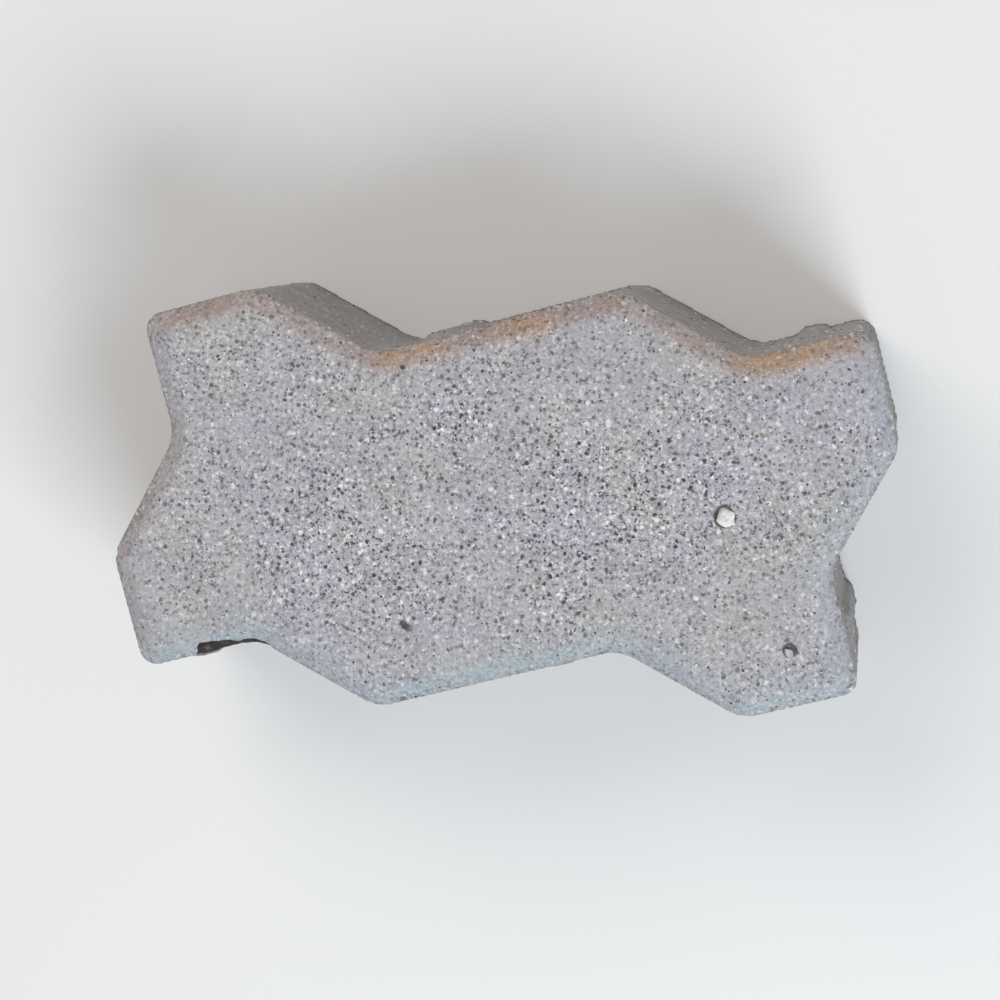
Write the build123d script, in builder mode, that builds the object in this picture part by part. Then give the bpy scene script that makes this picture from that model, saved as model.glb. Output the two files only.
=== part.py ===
"""Zigzag interlocking concrete paving stone, cast in one piece.

Lengths are in millimetres. The stone lies as it is laid: its length along X, its width along Y
and its wearing face up, with the origin in the middle of its underside.
"""
import os
from math import atan2, degrees

from build123d import *

# Laying grid: the stone covers this many square modules along its length and its width
module = 112.5
modules_long = 2
modules_wide = 1
joint = 2.0

# Wave of the sides: each module has one gentle flank and one steep flank
wave_height = 10.0
steep_run = 37.5
bend_radius = 12.5
corner_radius = 6.0

# Block
thickness = 80.0

# Bevel round the wearing face
bevel_width = 6.0
bevel_drop = 4.5
face_corner_radius = 4.0
face_edge_softness = 5.0
bevel_foot_softness = 1.0

# Spacer nibs, which keep the neighbours a joint apart
nib_play = 0.2
nib_foot_length = 12.0
nib_crown_length = 6.0
nib_offset = 20.5
nib_top_gap = 2.0
nib_slope_rise = 7.0
nib_edge_softness = 0.8
nib_root = 3.0

# Sizes that follow from the ones above
grid_length = modules_long * module
grid_width = modules_wide * module
half_gentle_run = (module - steep_run) / 2
flank_angle = degrees(atan2(wave_height, half_gentle_run))
bevel_foot_height = thickness - bevel_drop
nib_height = bevel_foot_height - nib_top_gap
nib_proud = joint - nib_play

# Sides of the laying grid, clockwise: the corner each starts from, its turn and its modules
far_left = Vector(-grid_length / 2, grid_width / 2)
far_right = Vector(grid_length / 2, grid_width / 2)
near_right = Vector(grid_length / 2, -grid_width / 2)
near_left = Vector(-grid_length / 2, -grid_width / 2)
sides = [
    (far_left, 0, modules_long),
    (far_right, -90, modules_wide),
    (near_right, 180, modules_long),
    (near_left, 90, modules_wide),
]


def side_plane(start, turn):
    """A level plane with X clockwise along a side and Y pointing out of the stone."""
    return Plane(origin=start, x_dir=Vector(1, 0).rotate(Axis.Z, turn), z_dir=(0, 0, 1))


def wave_points(corner, turn, module_count):
    """The corner that a side starts from, then the crest and the hollow of each module."""
    side = side_plane(corner, turn)
    points = [corner]
    for index in range(module_count):
        crest_place = index * module + half_gentle_run
        hollow_place = (index + 1) * module - half_gentle_run
        points.append(side.from_local_coords(Vector(crest_place, wave_height)))
        points.append(side.from_local_coords(Vector(hollow_place, -wave_height)))
    return points


def wave_radii(inset, outline_corner_radius):
    """Radii for the laying line, so that an outline set in from it has this corner radius."""
    radii = []
    for corner, turn, module_count in sides:
        radii += [outline_corner_radius + inset] + [bend_radius] * 2 * module_count
    return radii


def nib_planes(corner, turn, module_count):
    """Where the nibs of one side stand: on its gentle flanks, short of their middle."""
    side = side_plane(corner, turn)
    planes = []
    for index in range(module_count):
        flank_middle = side.from_local_coords(Vector((index + 1) * module, 0))
        flank = side_plane(flank_middle, turn + flank_angle)
        nib_middle = flank.from_local_coords(Vector(-nib_offset, -joint / 2))
        planes.append(side_plane(nib_middle, turn + flank_angle))
    return planes


# Laying line: the closed zigzag that the stone shares with its neighbours.
# One wave runs along all four sides, turned a right angle at each corner, so stones also fit crosswise.
laying_line = []
for side in sides:
    laying_line += wave_points(*side)

# One spacer nib: its foot runs into the block, and its top slopes back to the face
with BuildPart() as spacer_nib:
    with BuildSketch():
        with BuildLine():
            Polyline(
                (-nib_foot_length / 2, -nib_root),
                (nib_foot_length / 2, -nib_root),
                (nib_foot_length / 2, 0),
                (nib_crown_length / 2, nib_proud),
                (-nib_crown_length / 2, nib_proud),
                (-nib_foot_length / 2, 0),
                close=True,
            )
        make_face()
    extrude(amount=nib_height)
    crown_edges = spacer_nib.edges().filter_by(Axis.Z).group_by(Axis.Y)[-1]
    fillet(crown_edges, radius=nib_edge_softness)

    with BuildSketch(Plane.YZ):
        with BuildLine():
            Polyline(
                (0, nib_height),
                (nib_proud, nib_height - nib_slope_rise),
                (nib_proud, nib_height),
                close=True,
            )
        make_face()
    extrude(amount=nib_foot_length / 2, both=True, mode=Mode.SUBTRACT)

# The stone
with BuildPart() as paving_stone:
    with BuildSketch():
        with BuildLine():
            foot_radii = wave_radii(joint / 2, corner_radius)
            FilletPolyline(*laying_line, radius=foot_radii, close=True)
        make_face()
        offset(amount=-joint / 2)
    extrude(amount=bevel_foot_height)

    # Bevel, up to the smaller outline of the wearing face
    bevel_foot = paving_stone.faces().sort_by(Axis.Z)[-1]
    face_inset = joint / 2 + bevel_width
    with BuildSketch(Plane.XY.offset(thickness)) as wearing_face:
        with BuildLine():
            face_radii = wave_radii(face_inset, face_corner_radius)
            FilletPolyline(*laying_line, radius=face_radii, close=True)
        make_face()
        offset(amount=-face_inset)
    loft(sections=[bevel_foot, wearing_face.sketch.face()], ruled=True)

    # The bevel's edges, soft round the wearing face and crisp at its foot
    face_edges = paving_stone.faces().sort_by(Axis.Z)[-1].edges()
    fillet(face_edges, radius=face_edge_softness)
    foot_edges = paving_stone.edges().filter_by_position(Axis.Z, bevel_foot_height, bevel_foot_height)
    fillet(foot_edges, radius=bevel_foot_softness)

    # Spacer nibs
    for side in sides:
        with Locations(*nib_planes(*side)):
            add(spacer_nib.part)

paving_stone.part.label = "paving_stone"

os.makedirs("parts", exist_ok=True)
export_step(paving_stone.part, "parts/paving_stone.step")
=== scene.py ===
"""Dress of the zigzag interlocking concrete paving stone.

The stone is one cast piece. Its outline, bevel and nibs come from the frame; this script gives it
the broken edge, the pits, the pressed relief and the finishes of the real concrete.
The stone lies with its wearing face up. Lengths are in metres, or in millimetres where it says so.
"""
from __future__ import annotations

import logging
import math
from dataclasses import dataclass, field
from enum import Enum

import bmesh
import bpy
import numpy as np
from mathutils import Matrix, Vector, noise
from mathutils.bvhtree import BVHTree


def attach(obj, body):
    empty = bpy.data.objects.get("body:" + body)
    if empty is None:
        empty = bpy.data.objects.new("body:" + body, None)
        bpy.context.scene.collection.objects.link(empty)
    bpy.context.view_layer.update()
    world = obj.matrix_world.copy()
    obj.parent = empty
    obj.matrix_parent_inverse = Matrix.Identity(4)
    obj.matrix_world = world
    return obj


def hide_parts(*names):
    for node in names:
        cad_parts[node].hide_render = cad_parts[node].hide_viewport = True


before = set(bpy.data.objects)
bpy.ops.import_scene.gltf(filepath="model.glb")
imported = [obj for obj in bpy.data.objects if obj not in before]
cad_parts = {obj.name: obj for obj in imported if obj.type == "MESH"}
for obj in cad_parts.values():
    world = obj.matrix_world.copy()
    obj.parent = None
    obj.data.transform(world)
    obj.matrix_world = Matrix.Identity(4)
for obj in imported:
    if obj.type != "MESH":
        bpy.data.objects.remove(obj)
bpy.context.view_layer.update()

MM = 0.001
NODE = "paving_stone"
BODY = "root"

# A vector times this is laid flat
FLAT = (1.0, 1.0, 0.0)

# Thicker and thinner patches of bared sand, the same in the skin's colour and in the grains laid on it
PATCH_SIZE = 30.0
PATCH_SPAN = (0.36, 0.60)

# The spans of a noise that shades are carried over from
NOISE_HALF = (0.25, 0.75)
NOISE_CORE = (0.3, 0.7)

Socket = bpy.types.NodeSocket
Tree = bpy.types.NodeTree
Material = bpy.types.Material
Mesh = bpy.types.Mesh
Piece = bpy.types.Object
Shapes = bmesh.types.BMesh
Pair = tuple[float, float]
Point = tuple[float, float, float]
Colour = tuple[float, float, float, float]
Kinds = tuple[tuple, ...]

log = logging.getLogger("paving_stone")


class Region(Enum):
    """The three kinds of surface on the stone, each with a finish of its own."""

    WEARING = 0
    SIDE = 1
    UNDERSIDE = 2


class Draw(Enum):
    """What each scattered grain draws at random, each with a seed of its own."""

    SIZE = 1
    TURN = 2
    SHAPE = 3
    TONE = 4


class NodeGraph:
    """Builds a node tree with short calls, for shaders and geometry alike."""

    def __init__(self, tree: Tree) -> None:
        """Start on a tree."""
        self.tree = tree

    def add(self, kind: str, inputs: dict | None = None, **settings: object) -> bpy.types.Node:
        """Add one node.

        Args:
            kind: the node's type name.
            inputs: values or sockets for its inputs, by name or number.
            settings: the node's own properties, which are set first.

        Returns:
            The new node.
        """
        node = self.tree.nodes.new(kind)
        for name, value in settings.items():
            setattr(node, name, value)
        for key, value in (inputs or {}).items():
            self.feed(node.inputs[key], value)
        return node

    def feed(self, target: Socket, value: object) -> None:
        """Set an input from a socket or a plain value.

        Args:
            target: the input.
            value: a socket to link, or a number, vector or colour.
        """
        if isinstance(value, Socket):
            self.tree.links.new(value, target)
        else:
            target.default_value = value

    def math(self, operation: str, *values: object, clamp: bool = False) -> Socket:
        """One step of arithmetic, its result held between 0 and 1 where clamp says so."""
        inputs = dict(enumerate(values))
        return self.add("ShaderNodeMath", inputs, operation=operation, use_clamp=clamp).outputs[0]

    def times(self, value: object, *factors: object, clamp: bool = False) -> Socket:
        """A number times one factor after the other.

        Args:
            value: the number.
            factors: what it is multiplied by.
            clamp: whether the result is held between 0 and 1.

        Returns:
            The product.
        """
        *early, last = factors
        for factor in early:
            value = self.math("MULTIPLY", value, factor)
        return self.math("MULTIPLY", value, last, clamp=clamp)

    def times_plus(self, value: object, factor: object, base: object, clamp: bool = False) -> Socket:
        """A number times a factor, and a base added."""
        return self.math("MULTIPLY_ADD", value, factor, base, clamp=clamp)

    def vector(self, operation: str, *values: object, output: int = 0) -> Socket:
        """One step of vector arithmetic, whose result is output 1 where that is a number."""
        return self.add("ShaderNodeVectorMath", dict(enumerate(values)), operation=operation).outputs[output]

    def scaled(self, vector: Socket, factor: object) -> Socket:
        """The vector times a number."""
        return self.add("ShaderNodeVectorMath", {0: vector, "Scale": factor}, operation="SCALE").outputs[0]

    def parts(self, vector: Socket) -> tuple[Socket, ...]:
        """The X, Y and Z of a vector."""
        return tuple(self.add("ShaderNodeSeparateXYZ", {0: vector}).outputs)

    def ramp(self, value: Socket, low: object, high: object) -> Socket:
        """How far a value has come from low to high, from 0 to 1 and eased at both ends."""
        inputs = {0: value, 1: low, 2: high}
        return self.add("ShaderNodeMapRange", inputs, interpolation_type="SMOOTHSTEP").outputs[0]

    def carried(self, value: Socket, span: Pair, result: Pair) -> Socket:
        """A value carried over evenly from one span to another, and held at its ends."""
        return self.add("ShaderNodeMapRange", dict(enumerate((value, *span, *result)))).outputs[0]

    def noise(self, place: Socket, size: float, detail: float = 2.0, roughness: float = 0.5) -> Socket:
        """Noise around 0.5, with clouds of a size and finer layers of some strength."""
        inputs = {"Vector": place, "Scale": 1 / size, "Detail": detail, "Roughness": roughness}
        return self.add("ShaderNodeTexNoise", inputs).outputs[0]

    def wobble(self, place: Socket, scale: float, detail: float) -> Socket:
        """Three different noises in one vector, each around 0.5."""
        return self.add("ShaderNodeTexNoise", {"Vector": place, "Scale": scale, "Detail": detail}).outputs[1]

    def bent(self, place: Socket, wobble: Socket, reach: float) -> Socket:
        """A place pushed about by a wobble, half the reach each way."""
        offset = self.vector("SUBTRACT", wobble, (0.5, 0.5, 0.5))
        return self.vector("ADD", place, self.scaled(offset, reach))

    def cells(self, place: Socket, size: float) -> tuple[Socket, Socket]:
        """Scattered dots: the distance from the nearest, in cells, and its random number."""
        node = self.add("ShaderNodeTexVoronoi", {"Vector": place, "Scale": 1 / size, "Randomness": 1.0})
        return node.outputs["Distance"], self.parts(node.outputs["Color"])[0]

    def dots(self, place: Socket, size: float, share: float, reach: float) -> Socket:
        """Round soft dots of different sizes in some of the cells.

        Args:
            place: where they are read.
            size: how far apart the cells are.
            share: the share of the cells that have a dot.
            reach: the largest dot's radius, in cells.

        Returns:
            1 inside a dot and 0 outside.
        """
        smallest = 0.35
        solid_share = 0.4
        distance, pick = self.cells(place, size)
        rim = self.times_plus(pick, (1 - smallest) * reach / share, smallest * reach)
        body = self.ramp(distance, rim, self.times(rim, solid_share))
        return self.times(self.math("LESS_THAN", pick, share), body)

    def background_ray(self) -> Socket:
        """Which rays show the background.

        Returns:
            1 for a ray that is seen, mirrored or passes through something clear.
        """
        rays = self.add("ShaderNodeLightPath").outputs
        mirrored = self.math("MAXIMUM", rays["Is Camera Ray"], rays["Is Glossy Ray"])
        return self.math("MAXIMUM", mirrored, rays["Is Transmission Ray"])

    def blend(self, factor: object, low: object, high: object) -> Socket:
        """One colour faded into another."""
        return self.add("ShaderNodeMix", {0: factor, 6: low, 7: high}, data_type="RGBA").outputs[2]


class NamedTree(NodeGraph):
    """A tree with named inputs and outputs."""

    def __init__(self, name: str, kind: str, inputs: dict[str, str], outputs: dict[str, str]) -> None:
        """Start the tree.

        Args:
            name: its name.
            kind: the type of tree.
            inputs: the type of each input, by name.
            outputs: the type of each output, by name.
        """
        super().__init__(bpy.data.node_groups.new(name, kind))
        for way, sockets in (("INPUT", inputs), ("OUTPUT", outputs)):
            for socket, content in sockets.items():
                self.tree.interface.new_socket(socket, in_out=way, socket_type="NodeSocket" + content)
        self.given = self.add("NodeGroupInput").outputs


class EffectGroup(NamedTree):
    """A shader node group that several finishes share."""

    def __init__(self, name: str, colours: str, numbers: str, outputs: dict[str, str]) -> None:
        """Start the group.

        Args:
            name: its name.
            colours: the names of the colours it is given.
            numbers: the names of the numbers it is given.
            outputs: the type of each output, by name.
        """
        inputs = {"Place": "Vector"}
        inputs.update(dict.fromkeys(colours.split(), "Color"))
        inputs.update(dict.fromkeys(numbers.split(), "Float"))
        super().__init__(name, "ShaderNodeTree", inputs, outputs)
        self.place = self.given["Place"]

    def closed(self, **results: Socket) -> Tree:
        """The group, with its results led to its outputs."""
        self.add("NodeGroupOutput", results)
        return self.tree


class GeometryTree(NamedTree):
    """A geometry tree that takes a mesh and named sizes, and gives a mesh."""

    def __init__(self, name: str, sizes: dict[str, float]) -> None:
        """Start the tree.

        Args:
            name: its name.
            sizes: what its inputs get, by name.
        """
        inputs = {"Geometry": "Geometry", **dict.fromkeys(sizes, "Float")}
        super().__init__(name, "GeometryNodeTree", inputs, {"Geometry": "Geometry"})
        self.sizes = sizes
        self.place = self.add("GeometryNodeInputPosition").outputs[0]

    def spread(self, mask: Socket, steps: int) -> Socket:
        """A mask that runs softly into its surroundings, some steps from point to point."""
        return self.add("GeometryNodeBlurAttribute", {0: mask, "Iterations": steps}).outputs[0]

    def marked(self, geometry: Socket, name: str, value: Socket, domain: str = "POINT") -> Socket:
        """The geometry with a number kept on it, under a name that the materials read."""
        inputs = {"Geometry": geometry, "Name": name, "Value": value}
        return self.add("GeometryNodeStoreNamedAttribute", inputs, domain=domain).outputs[0]

    def run_on(self, piece: Piece, result: Socket) -> None:
        """Run the tree on a piece, and make what comes out its mesh.

        Args:
            piece: the piece.
            result: the geometry that the tree puts out.
        """
        self.add("NodeGroupOutput", {"Geometry": result})
        running = piece.modifiers.new(self.tree.name, "NODES")
        running.node_group = self.tree
        for socket in self.tree.interface.items_tree:
            if socket.name in self.sizes:
                running[socket.identifier] = self.sizes[socket.name]
        settle(piece)


def settle(piece: Piece) -> None:
    """Work the modifiers of a piece into its mesh, and remove them.

    Args:
        piece: the piece.
    """
    graph = bpy.context.evaluated_depsgraph_get()
    finished = piece.evaluated_get(graph)
    mesh = bpy.data.meshes.new_from_object(finished, preserve_all_data_layers=True, depsgraph=graph)
    piece.modifiers.clear()
    piece.data = mesh


def new_piece(name: str, mesh: Mesh) -> Piece:
    """Put a mesh into the scene.

    Args:
        name: the name of the piece.
        mesh: its mesh, already in its place.

    Returns:
        The new object.
    """
    piece = bpy.data.objects.new(name, mesh)
    bpy.context.scene.collection.objects.link(piece)
    return piece


def collected_piece(name: str, collected: Shapes) -> Piece:
    """Put the shapes that were collected into the scene as one piece.

    Args:
        name: the name of the piece.
        collected: the shapes, which are freed.

    Returns:
        The new object.
    """
    mesh = bpy.data.meshes.new(name)
    collected.to_mesh(mesh)
    collected.free()
    return new_piece(name, mesh)


def keep_values(mesh: Mesh, name: str, values: np.ndarray) -> None:
    """Keep a number on each point of a mesh, under a name."""
    kept = mesh.attributes.new(name, "FLOAT", "POINT")
    kept.data.foreach_set("value", values.astype(np.float32))


def kept_values(mesh: Mesh, name: str) -> np.ndarray:
    """The numbers kept on a mesh's points under a name.

    Args:
        mesh: the mesh.
        name: the name.

    Returns:
        One number for each point.
    """
    values = np.zeros(len(mesh.vertices), np.float32)
    mesh.attributes[name].data.foreach_get("value", values)
    return values


@dataclass(frozen=True)
class Blob:
    """An uneven rounded lump, in millimetres."""

    place: Point
    radii: Point
    seed: int = 1
    lumps: float = 0.16
    waves: Pair = (1.7, 4.0)
    fine_share: float = 0.5
    seed_steps: Point = (2.3, 4.1, 1.7)

    def shift(self) -> Vector:
        """Where in the noise this lump lies."""
        return Vector(self.seed * step for step in self.seed_steps)

    def reach(self, way: Vector) -> Vector:
        """How far the lump reaches from its middle.

        Args:
            way: the direction, one long.

        Returns:
            The point where its surface lies.
        """
        shift = self.shift()
        broad, fine = (noise.noise(way * wave + shift) for wave in self.waves)
        swell = 1 + self.lumps * (broad + self.fine_share * fine)
        return Vector(way[axis] * self.radii[axis] * swell for axis in range(3))


@dataclass(frozen=True)
class Bite(Blob):
    """A bit broken or blown out of the stone: a blob that is cut away."""

    turn: float = 0.0
    detail: int = 3
    waves: Pair = (1.6, 4.1)
    fine_share: float = 0.6
    seed_steps: Point = (3.7, 1.9, 5.3)

    def add_to(self, shell: Shapes) -> None:
        """Add the blob's surface to a mesh.

        Args:
            shell: the mesh that collects the blobs.
        """
        spin = Matrix.Rotation(self.turn, 3, "Z")
        made = bmesh.ops.create_icosphere(shell, subdivisions=self.detail, radius=1.0)
        for vertex in made["verts"]:
            reach = self.reach(vertex.co.normalized())
            vertex.co = spin @ (reach * MM) + Vector(self.place) * MM


@dataclass(frozen=True)
class Spall:
    """A piece burst off an edge: the line where it broke, and how it falls away, in millimetres."""

    rim: tuple[Pair, ...]
    outer: float
    top: float = 81.0
    brink: float = 78.0
    foot: float = 71.0
    levels: int = 22
    spacing: float = 0.5
    fall: float = 8.0
    scoop: float = 3.0
    grain_size: float = 4.2
    grain_lift: float = 0.8
    grain_sharpness: float = 1.7
    grain_sink: float = 0.3
    paste_size: float = 6.0
    paste_lift: float = 1.5
    grit_size: float = 1.5
    grit_lift: float = 0.8
    grit_shift: Point = (9.0, 2.0, 5.0)
    roughness: float = 0.36
    rim_calm: float = 0.5
    rim_rise: float = 3.0

    def line(self) -> np.ndarray:
        """The broken rim, divided evenly.

        Returns:
            Its points.
        """
        corners = np.array(self.rim)
        lengths = np.concatenate([[0.0], np.cumsum(np.linalg.norm(np.diff(corners, axis=0), axis=1))])
        steps = np.linspace(0, lengths[-1], int(lengths[-1] / self.spacing))
        return np.stack([np.interp(steps, lengths, corners[:, axis]) for axis in range(2)], 1)

    def unevenness(self, place: Vector, share: float) -> float:
        """How far the break stands out at a place: coarse grains, the paste between them, and grit.

        Args:
            place: the place on the smooth break.
            share: how much of it there is, from 0 at the rim to 1.

        Returns:
            The distance.
        """
        nearest = noise.voronoi(place / self.grain_size)[0][0]
        grain = self.grain_lift * max(0.0, 1 - (self.grain_sharpness * nearest) ** 2)
        paste = noise.noise(place / self.paste_size) * self.paste_lift
        grit = noise.noise(place / self.grit_size + Vector(self.grit_shift)) * self.grit_lift
        inside = min(1.0, self.rim_rise * share)
        rough = self.roughness * (self.rim_calm + (1 - self.rim_calm) * inside)
        return inside * (grain - self.grain_sink * self.grain_lift) + rough * (paste + grit)

    def add_to(self, shell: Shapes) -> None:
        """Add the wedge that burst off to a mesh.

        Args:
            shell: the mesh that collects what is cut away.
        """
        line = self.line()
        rows = []
        for level in range(self.levels + 1):
            height = self.top + (self.foot - self.top) * level / self.levels
            share = max(0.0, (self.brink - height) / (self.brink - self.foot))
            row = []
            for x, y in line:
                drop = self.fall * share**self.scoop + self.unevenness(Vector((x, y, height)), share)
                row.append(shell.verts.new(Vector((x, y - drop, height)) * MM))
            for x in (line[-1][0], line[0][0]):
                row.append(shell.verts.new(Vector((x, self.outer, height)) * MM))
            rows.append(row)
        for above, below in zip(rows, rows[1:]):
            for index in range(len(above)):
                after = (index + 1) % len(above)
                shell.faces.new((above[index], above[after], below[after], below[index]))
        shell.faces.new(rows[0])
        shell.faces.new(list(reversed(rows[-1])))


@dataclass
class Damage:
    """Everything that has broken off or come out of this stone, in millimetres."""

    crumb_count: int = 46
    crumb_radius: Pair = (0.35, 0.95)
    crumb_stretch: Pair = (0.7, 1.5)
    seed: int = 11
    spall: Spall = Spall(
        rim=(
            (-94.7, -54.0),
            (-94.2, -50.4),
            (-93.4, -48.0),
            (-93.0, -46.0),
            (-90.4, -45.7),
            (-86.4, -45.2),
            (-82.4, -44.8),
            (-76.4, -44.5),
            (-72.4, -45.2),
            (-70.0, -47.5),
            (-69.0, -50.0),
        ),
        outer=-64.0,
    )
    sockets: tuple[Bite, ...] = (
        Bite((69.3, -2.4, 80.1), (3.5, 3.3, 1.5), lumps=0.30, seed=2),
        Bite((89.2, -42.5, 80.0), (2.3, 2.2, 1.5), lumps=0.40, seed=9),
        Bite((-28.2, -37.6, 80.0), (1.8, 0.75, 1.3), turn=-0.8, lumps=0.5, seed=4),
        Bite((-26.8, -38.9, 79.8), (1.25, 1.0, 1.6), turn=0.3, lumps=0.5, seed=6),
    )

    def crumbs(self, rim: np.ndarray) -> list[Bite]:
        """Small crumbs gone from the edges.

        Args:
            rim: points on the edges.

        Returns:
            One small bite for each crumb.
        """
        draw = np.random.default_rng(self.seed)
        bites = []
        for index in range(self.crumb_count):
            place = tuple(rim[draw.integers(len(rim))])
            radius = draw.uniform(*self.crumb_radius)
            radii = tuple(radius * draw.uniform(*self.crumb_stretch, 3))
            turn = draw.uniform(0, math.tau)
            bites.append(Bite(place, radii, turn=turn, lumps=0.3, detail=2, seed=20 + index))
        return bites

    def losses(self, rim: np.ndarray) -> dict[str, tuple[list, float]]:
        """What is gone from the stone, by the mask that marks the surface it laid bare.

        Args:
            rim: points on the edges.

        Returns:
            The shapes to cut away, and how near that surface is to them, in metres.
        """
        return {
            "fracture": ([self.spall], 0.9 * MM),
            "crumbled": (self.crumbs(rim), 0.6 * MM),
            "socket": (list(self.sockets), 0.6 * MM),
        }

    @staticmethod
    def shell(name: str, shapes: list) -> Piece:
        """One piece that holds the shapes to cut away.

        Args:
            name: its name.
            shapes: the shapes.

        Returns:
            The piece.
        """
        collected = bmesh.new()
        for shape in shapes:
            shape.add_to(collected)
        bmesh.ops.recalc_face_normals(collected, faces=collected.faces)
        return collected_piece(name, collected)


@dataclass
class CastRelief:
    """The pressed surface of the concrete: how deep each unevenness goes, and how large it is."""

    sink: float = 0.18 * MM
    sway: float = 0.22 * MM
    sway_size: float = 28 * MM
    grain: float = 0.20 * MM
    grain_size: float = 1.8 * MM
    bevel_calm: float = 0.6
    pit: float = 0.45 * MM
    pit_size: float = 4.6 * MM
    pit_share: float = 0.10
    pit_reach: float = 0.17
    side_sway: float = 2.0
    side_lump: float = 0.42 * MM
    side_lump_size: float = 5.0 * MM
    side_drag: float = 0.16 * MM
    side_drag_size: float = 1.8 * MM
    side_drag_shape: Point = (1.0, 1.0, 0.06)
    side_void: float = 1.2 * MM
    side_void_size: float = 6.5 * MM
    side_void_share: float = 0.26
    side_void_reach: float = 0.25
    side_void_bend: float = 3.4 * MM
    under_lump: float = 0.30 * MM
    under_lump_size: float = 3.2 * MM
    ragged: float = 0.35 * MM
    ragged_size: float = 2.4 * MM
    ragged_band: Pair = (2.2 * MM, 0.0)
    sandless_foot: Pair = (2.5 * MM, 4.0 * MM)
    bevel_steps: int = 4
    tint_steps: int = 60
    smooth_steps: int = 130
    # The upward part of the normal at which each kind of surface starts, and where it is complete
    wearing_lift: Pair = (0.25, 0.6)
    under_lift: Pair = (-0.4, -0.8)
    bevel_lift: Pair = (0.985, 0.86)
    # How much of the direction of the bevel tints, dust with painted warm light and painted cool sky light,
    # comes from the length of the stone
    tint_slant: float = -0.2

    def press(self, stone: Piece) -> None:
        """Press the relief into the block, and keep the masks that its finishes read.

        Args:
            stone: the cut block.
        """
        sizes = {
            "Sink": self.sink,
            "Sway": self.sway,
            "Grain": self.grain,
            "Pit": self.pit,
            "Side Lump": self.side_lump,
            "Side Drag": self.side_drag,
            "Side Void": self.side_void,
            "Under Lump": self.under_lump,
            "Ragged": self.ragged,
        }
        tree = GeometryTree("cast_relief", sizes)
        normal = tree.add("GeometryNodeInputNormal").outputs[0]
        lift = tree.parts(normal)[2]
        height = tree.parts(tree.place)[2]
        wearing = tree.ramp(lift, *self.wearing_lift)
        under = tree.ramp(lift, *self.under_lift)
        elsewhere = tree.math("SUBTRACT", 1.0, wearing)
        side = tree.math("SUBTRACT", elsewhere, under, clamp=True)
        bevel = tree.times(wearing, tree.ramp(lift, *self.bevel_lift))

        wearing_depth, pits = self.wearing_depth(tree, bevel)
        side_depth, voids = self.side_depth(tree, height)
        depth = tree.times(wearing, wearing_depth)
        depth = tree.times_plus(side, side_depth, depth)
        depth = tree.times_plus(under, self.under_depth(tree, voids), depth)
        above = tree.math("SUBTRACT", 1.0, under, clamp=True)
        depth = tree.times_plus(tree.given["Sink"], above, depth)

        masks = {
            "hollow": tree.times_plus(elsewhere, voids, tree.times(wearing, pits)),
            "bevel": tree.spread(bevel, self.bevel_steps),
            "near_bevel": tree.spread(bevel, self.smooth_steps),
            # The facing of the bevels, spread: it places dust with painted warm light on the far bevels and
            # painted cool sky light on the near ones
            "turned": tree.spread(tree.times(bevel, self.facing(tree, normal)), self.tint_steps),
            "wearing": wearing,
            "side": tree.times(side, tree.ramp(height, *self.sandless_foot)),
        }
        geometry = tree.given["Geometry"]
        for name, value in masks.items():
            geometry = tree.marked(geometry, name, value)
        inward = tree.scaled(normal, tree.times(depth, -1.0))
        moved = tree.add("GeometryNodeSetPosition", {"Geometry": geometry, "Offset": inward})
        tree.run_on(stone, moved.outputs[0])

    def facing(self, tree: GeometryTree, normal: Socket) -> Socket:
        """Which side of the stone the surface faces.

        Args:
            tree: the tree being built.
            normal: the way the surface faces.

        Returns:
            1 towards the far side and -1 towards the near side.
        """
        shortest = 0.01
        across, along, _ = tree.parts(normal)
        length = tree.vector("LENGTH", tree.vector("MULTIPLY", normal, FLAT), output=1)
        length = tree.math("MAXIMUM", length, shortest)
        across = tree.math("DIVIDE", across, length)
        along = tree.math("DIVIDE", along, length)
        return tree.times_plus(across, self.tint_slant, tree.times(along, tree.math("ABSOLUTE", along)))

    def wearing_depth(self, tree: GeometryTree, bevel: Socket) -> tuple[Socket, Socket]:
        """The relief of the wearing face: a slight sway, sand grain and a few pits.

        Args:
            tree: the tree being built.
            bevel: the mask of the bevel, which is smoother.

        Returns:
            The depth, and a mask of the pits.
        """
        sway = tree.noise(tree.place, self.sway_size, 1.0)
        grain = tree.noise(tree.place, self.grain_size, 2.0, 0.6)
        coarse = tree.times_plus(bevel, -self.bevel_calm, 1.0)
        pits = tree.times(tree.dots(tree.place, self.pit_size, self.pit_share, self.pit_reach), coarse)
        depth = tree.times(sway, tree.given["Sway"])
        depth = tree.times_plus(grain, tree.times(coarse, tree.given["Grain"]), depth)
        return tree.times_plus(pits, tree.given["Pit"], depth), pits

    def side_depth(self, tree: GeometryTree, height: Socket) -> tuple[Socket, Socket]:
        """The relief of the sides: lumps, upright drag marks, voids and ragged edges.

        Args:
            tree: the tree being built.
            height: the height above the underside.

        Returns:
            The depth, and a mask of the voids.
        """
        place = tree.place
        given = tree.given
        lumps = tree.noise(place, self.side_lump_size, 3.0, 0.6)
        drag = tree.noise(tree.vector("MULTIPLY", place, self.side_drag_shape), self.side_drag_size, 1.0)
        wobble = tree.wobble(place, 1 / (3 * MM), 1.0)
        bent = tree.vector("ADD", place, tree.scaled(wobble, self.side_void_bend))
        voids = tree.dots(bent, self.side_void_size, self.side_void_share, self.side_void_reach)
        sway = tree.noise(place, self.sway_size, 1.0)
        depth = tree.times(lumps, given["Side Lump"])
        depth = tree.times_plus(sway, tree.times(given["Sway"], self.side_sway), depth)
        depth = tree.times_plus(drag, given["Side Drag"], depth)
        depth = tree.times_plus(voids, given["Side Void"], depth)
        crumble = tree.noise(place, self.ragged_size, 2.0)
        rag = tree.times(crumble, given["Ragged"], tree.ramp(height, *self.ragged_band))
        return tree.math("ADD", depth, rag), voids

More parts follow.
